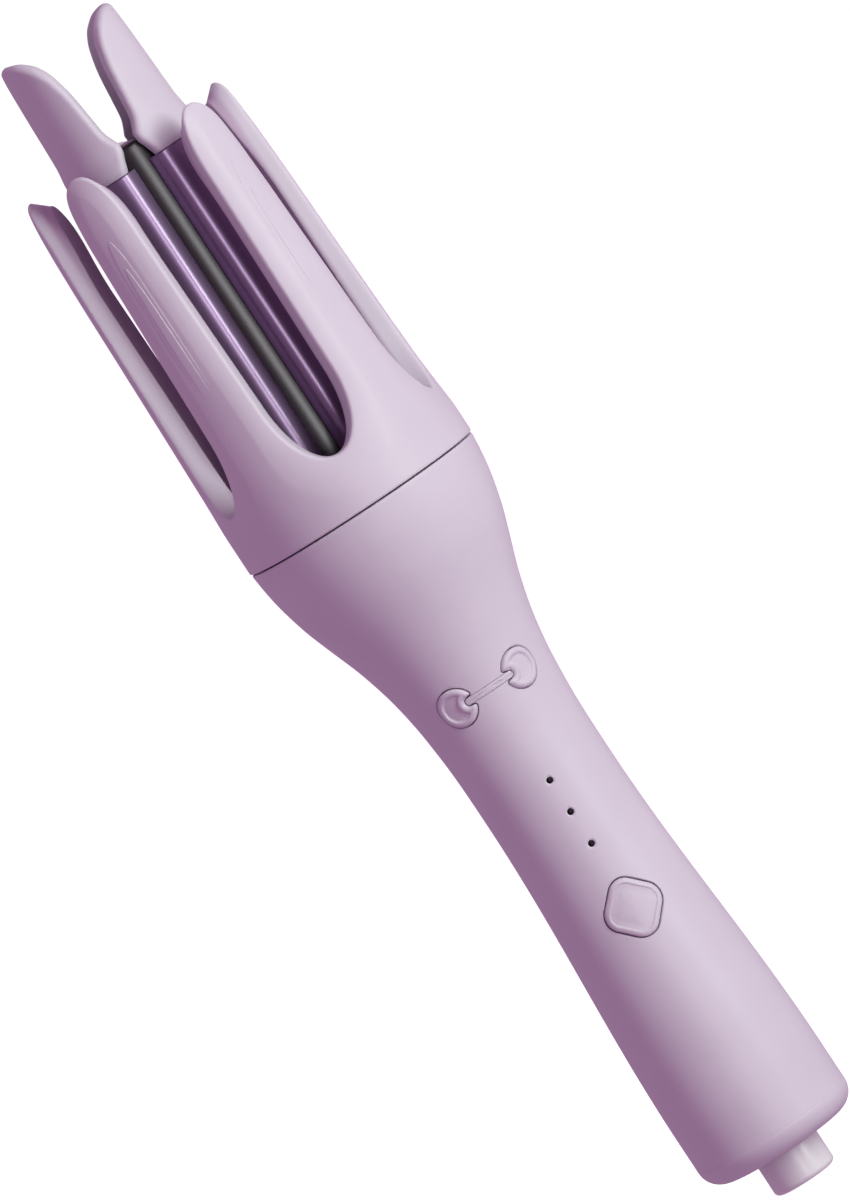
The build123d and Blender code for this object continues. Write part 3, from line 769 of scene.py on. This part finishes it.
# ---------------------------------------------------------------------------------------------
# Barrel lobes: two metal half shells with a glossy purple coating, clamped to the core. Their
# sloped shoulders leave a groove on each side where the hair starts its turn.
# ---------------------------------------------------------------------------------------------
purple = plastic("purple_metallic", (0.215, 0.145, 0.25), (0.245, 0.165, 0.285), 0.36, 0.000001,
                 coat=0.12, metallic=0.5)
lobe_radius = 17.5
lobe_base = 0.211
lobe_top = 0.3045
shoulder_end = 7.6
bore = 12.87
foot_half = 2.1
for direction, name in ((-1, "left"), (1, "right")):
    shoulder = []
    for step in range(15):
        t = step / 14
        x = 3.6 * (1 - t) ** 2 + 5.2 * 2 * t * (1 - t) + shoulder_end * t * t
        y = 14.86 * (1 - t) ** 2 + 16.71 * 2 * t * (1 - t) + 15.76 * t * t
        shoulder.append((x, y))
    outline = [(foot_half, -12.70), (2.3, -13.35)] + [(x, -y) for x, y in shoulder]
    turned = math.asin(shoulder_end / lobe_radius)
    for step in range(1, 72):
        a = turned + (math.pi - 2 * turned) * step / 72
        outline.append((lobe_radius * math.sin(a), -lobe_radius * math.cos(a)))
    outline += shoulder[::-1] + [(2.3, 13.35), (foot_half, 12.70)]
    for step in range(1, 40):
        end = math.asin(foot_half / bore)
        a = math.pi - end - (math.pi - 2 * end) * step / 40
        outline.append((bore * math.sin(a), -bore * math.cos(a)))
    outline = [(direction * x * MM, y * MM) for x, y in outline]
    count = len(outline)
    points = [(x, y, lobe_base) for x, y in outline] + [(x, y, lobe_top) for x, y in outline]
    faces = [tuple(range(count)), tuple(range(2 * count - 1, count - 1, -1))]
    for i in range(count):
        j = (i + 1) % count
        faces.append((i, count + i, count + j, j))
    data = bpy.data.meshes.new("barrel_half_" + name)
    data.from_pydata(points, [], faces)
    lobe = bpy.data.objects.new("barrel_half_" + name, data)
    bpy.context.collection.objects.link(lobe)
    bpy.ops.object.select_all(action="DESELECT")
    lobe.select_set(True)
    bpy.context.view_layer.objects.active = lobe
    bpy.ops.object.mode_set(mode="EDIT")
    bpy.ops.mesh.select_all(action="SELECT")
    bpy.ops.mesh.normals_make_consistent(inside=False)
    bpy.ops.object.mode_set(mode="OBJECT")
    soften = lobe.modifiers.new("soften", "BEVEL")
    soften.width = 0.0004
    soften.segments = 5
    soften.limit_method = "ANGLE"
    soften.angle_limit = math.radians(20)
    bpy.ops.object.modifier_apply(modifier="soften")
    finished(lobe, purple, "barrel", ["barrel_lobe_" + name], 40)

# ---------------------------------------------------------------------------------------------
# Ears: two hollow mauve heat-resistant mouldings pinned over the end of the core. The gap
# between them takes the section of hair, and their tips rise outwards.
# ---------------------------------------------------------------------------------------------
mauve = plastic("mauve_satin", (0.575, 0.515, 0.60), (0.595, 0.535, 0.62), 0.48, 0.00002, specular=0.32)
ear_mean = 17.2
gap_z = [304.6, 307.5, 310.2, 311.6, 313.2, 316.0, 321.0, 328.0, 334.5, 338.7, 341.0, 342.2, 342.75]
gap_x = [4.9, 3.7, 2.6, 2.5, 3.3, 4.5, 5.2, 6.1, 7.8, 10.1, 12.4, 14.0, 15.9]
ear_z = [304.6, 309.0, 314.5, 328.0, 338.0, 340.8, 342.1, 342.75]
ear_out = [18.25, 18.25, 17.6, 17.1, 16.65, 16.4, 16.15, 15.9]
ear_in = [14.0, 14.0, 13.6, 13.3, 13.0, 13.2, 13.6, 14.2]
levels = [304.6 + 38.15 * math.sin(math.pi / 2 * k / 110) ** 0.9 for k in range(111)]
ear_edge = []
for z in levels:
    r = along(z, ear_z, ear_out)
    g = along(z, gap_z, gap_x)
    ear_edge.append((math.asin(min(1, g / r)), z))
ear_edge[-1] = (math.pi / 2, 342.75)
flat_ear = [(ear_mean * a, z) for a, z in ear_edge]
grid = []
for i, (ea, ez) in enumerate(ear_edge):
    row = []
    for k in range(28, -1, -1):
        w = (k / 28) ** 1.6
        angle = ea + (math.pi / 2 - ea) * w
        x = ear_mean * angle
        d = nearest(x, ez, flat_ear, i)[0]
        r = along(ez, ear_z, ear_out)
        if d < 1.5:
            r -= 1.5 - math.sqrt(max(0, 2.25 - (1.5 - d) ** 2))
        foot = ez - 304.6
        if foot < 0.35:
            r -= 0.35 - math.sqrt(max(0, 0.1225 - (0.35 - foot) ** 2))
        row.append((r, angle, ez))
    r_out = row[-1][0]
    r_in = along(ez, ear_z, ear_in) + 0.9
    r_in = min(r_in, r_out - 0.1)
    for k in range(1, 4):
        row.append((r_out + (r_in - r_out) * k / 4, ea, ez))
    for k in range(15):
        w = (k / 14) ** 1.5
        angle = ea + (math.pi / 2 - ea) * w
        x = ear_mean * angle
        d = nearest(x, ez, flat_ear, i)[0]
        r = along(ez, ear_z, ear_in)
        if d < 0.9:
            r += 0.9 - math.sqrt(max(0, 0.81 - (0.9 - d) ** 2))
        r = min(r, r_out - 0.1)
        row.append((r, angle, ez))
    grid.append(row)
for direction, name in ((-1, "left"), (1, "right")):
    points = []
    faces = []
    rows = len(grid[0])
    for flip in (-1, 1):
        start = len(points)
        for row in grid:
            for r, angle, z in row:
                x = direction * r * MM * math.sin(angle)
                points.append((x, -flip * r * MM * math.cos(angle), z * MM))
        for i in range(len(grid) - 1):
            for k in range(rows - 1):
                a = start + i * rows + k
                faces.append((a, a + 1, a + rows + 1, a + rows))
        bottom = [start + k for k in range(rows)]
        for k in range(14):
            faces.append((bottom[k * 2], bottom[k * 2 + 1], bottom[k * 2 + 2], bottom[rows - 1 - k - 1],
                          bottom[rows - 1 - k]))
    data = bpy.data.meshes.new("ear_shell_" + name)
    data.from_pydata(points, [], faces)
    ear = bpy.data.objects.new("ear_shell_" + name, data)
    bpy.context.collection.objects.link(ear)
    bpy.ops.object.select_all(action="DESELECT")
    ear.select_set(True)
    bpy.context.view_layer.objects.active = ear
    bpy.ops.object.mode_set(mode="EDIT")
    bpy.ops.mesh.select_all(action="SELECT")
    bpy.ops.mesh.remove_doubles(threshold=0.000004)
    bpy.ops.mesh.normals_make_consistent(inside=False)
    bpy.ops.object.mode_set(mode="OBJECT")
    finished(ear, mauve, "barrel", ["ear_" + name], 50)

# ---------------------------------------------------------------------------------------------
# Parts inside the handle and head: the CAD pieces stay as they are, and each takes the finish
# of its own material, such as laminate, brass, steel or acetal.
# ---------------------------------------------------------------------------------------------
looks = {
    "black_core": black,
    "circuit_board": plastic("board_green", (0.03, 0.16, 0.08), (0.05, 0.24, 0.12), 0.45, 0.00003),
    "black_component": plastic("component_black", (0.02, 0.02, 0.022), (0.04, 0.04, 0.045), 0.5, 0.00003),
    "green_terminal": plastic("terminal_green", (0.07, 0.28, 0.11), (0.1, 0.36, 0.15), 0.5, 0.00003),
    "led_lens": plastic("clear_lens", (0.8, 0.79, 0.75), (0.9, 0.89, 0.85), 0.15, 0.00001),
    "structural_plastic": plastic("structural_dark", (0.025, 0.022, 0.027), (0.045, 0.04, 0.048), 0.55,
                                  0.00004),
    "white_gear": plastic("acetal_white", (0.78, 0.77, 0.72), (0.85, 0.84, 0.8), 0.4, 0.00002),
    "brass": plastic("turned_brass", (0.62, 0.44, 0.18), (0.7, 0.52, 0.24), 0.3, 0.00001, metallic=1.0),
    "steel": plastic("bright_steel", (0.5, 0.5, 0.52), (0.6, 0.6, 0.62), 0.3, 0.00001, metallic=1.0),
    "carbon": plastic("pressed_carbon", (0.02, 0.02, 0.02), (0.05, 0.05, 0.05), 0.7, 0.00004),
    "heater_alloy": plastic("heater_foil", (0.6, 0.6, 0.6), (0.7, 0.7, 0.7), 0.4, 0.00002, metallic=1.0),
}
slot_of = {part["node"]: part["material_slot"] for part in frame["record"]["subparts"]}
for node, piece in frame["nodes"].items():
    look = looks.get(slot_of.get(node))
    if look is not None:
        piece.data.materials.clear()
        piece.data.materials.append(look)
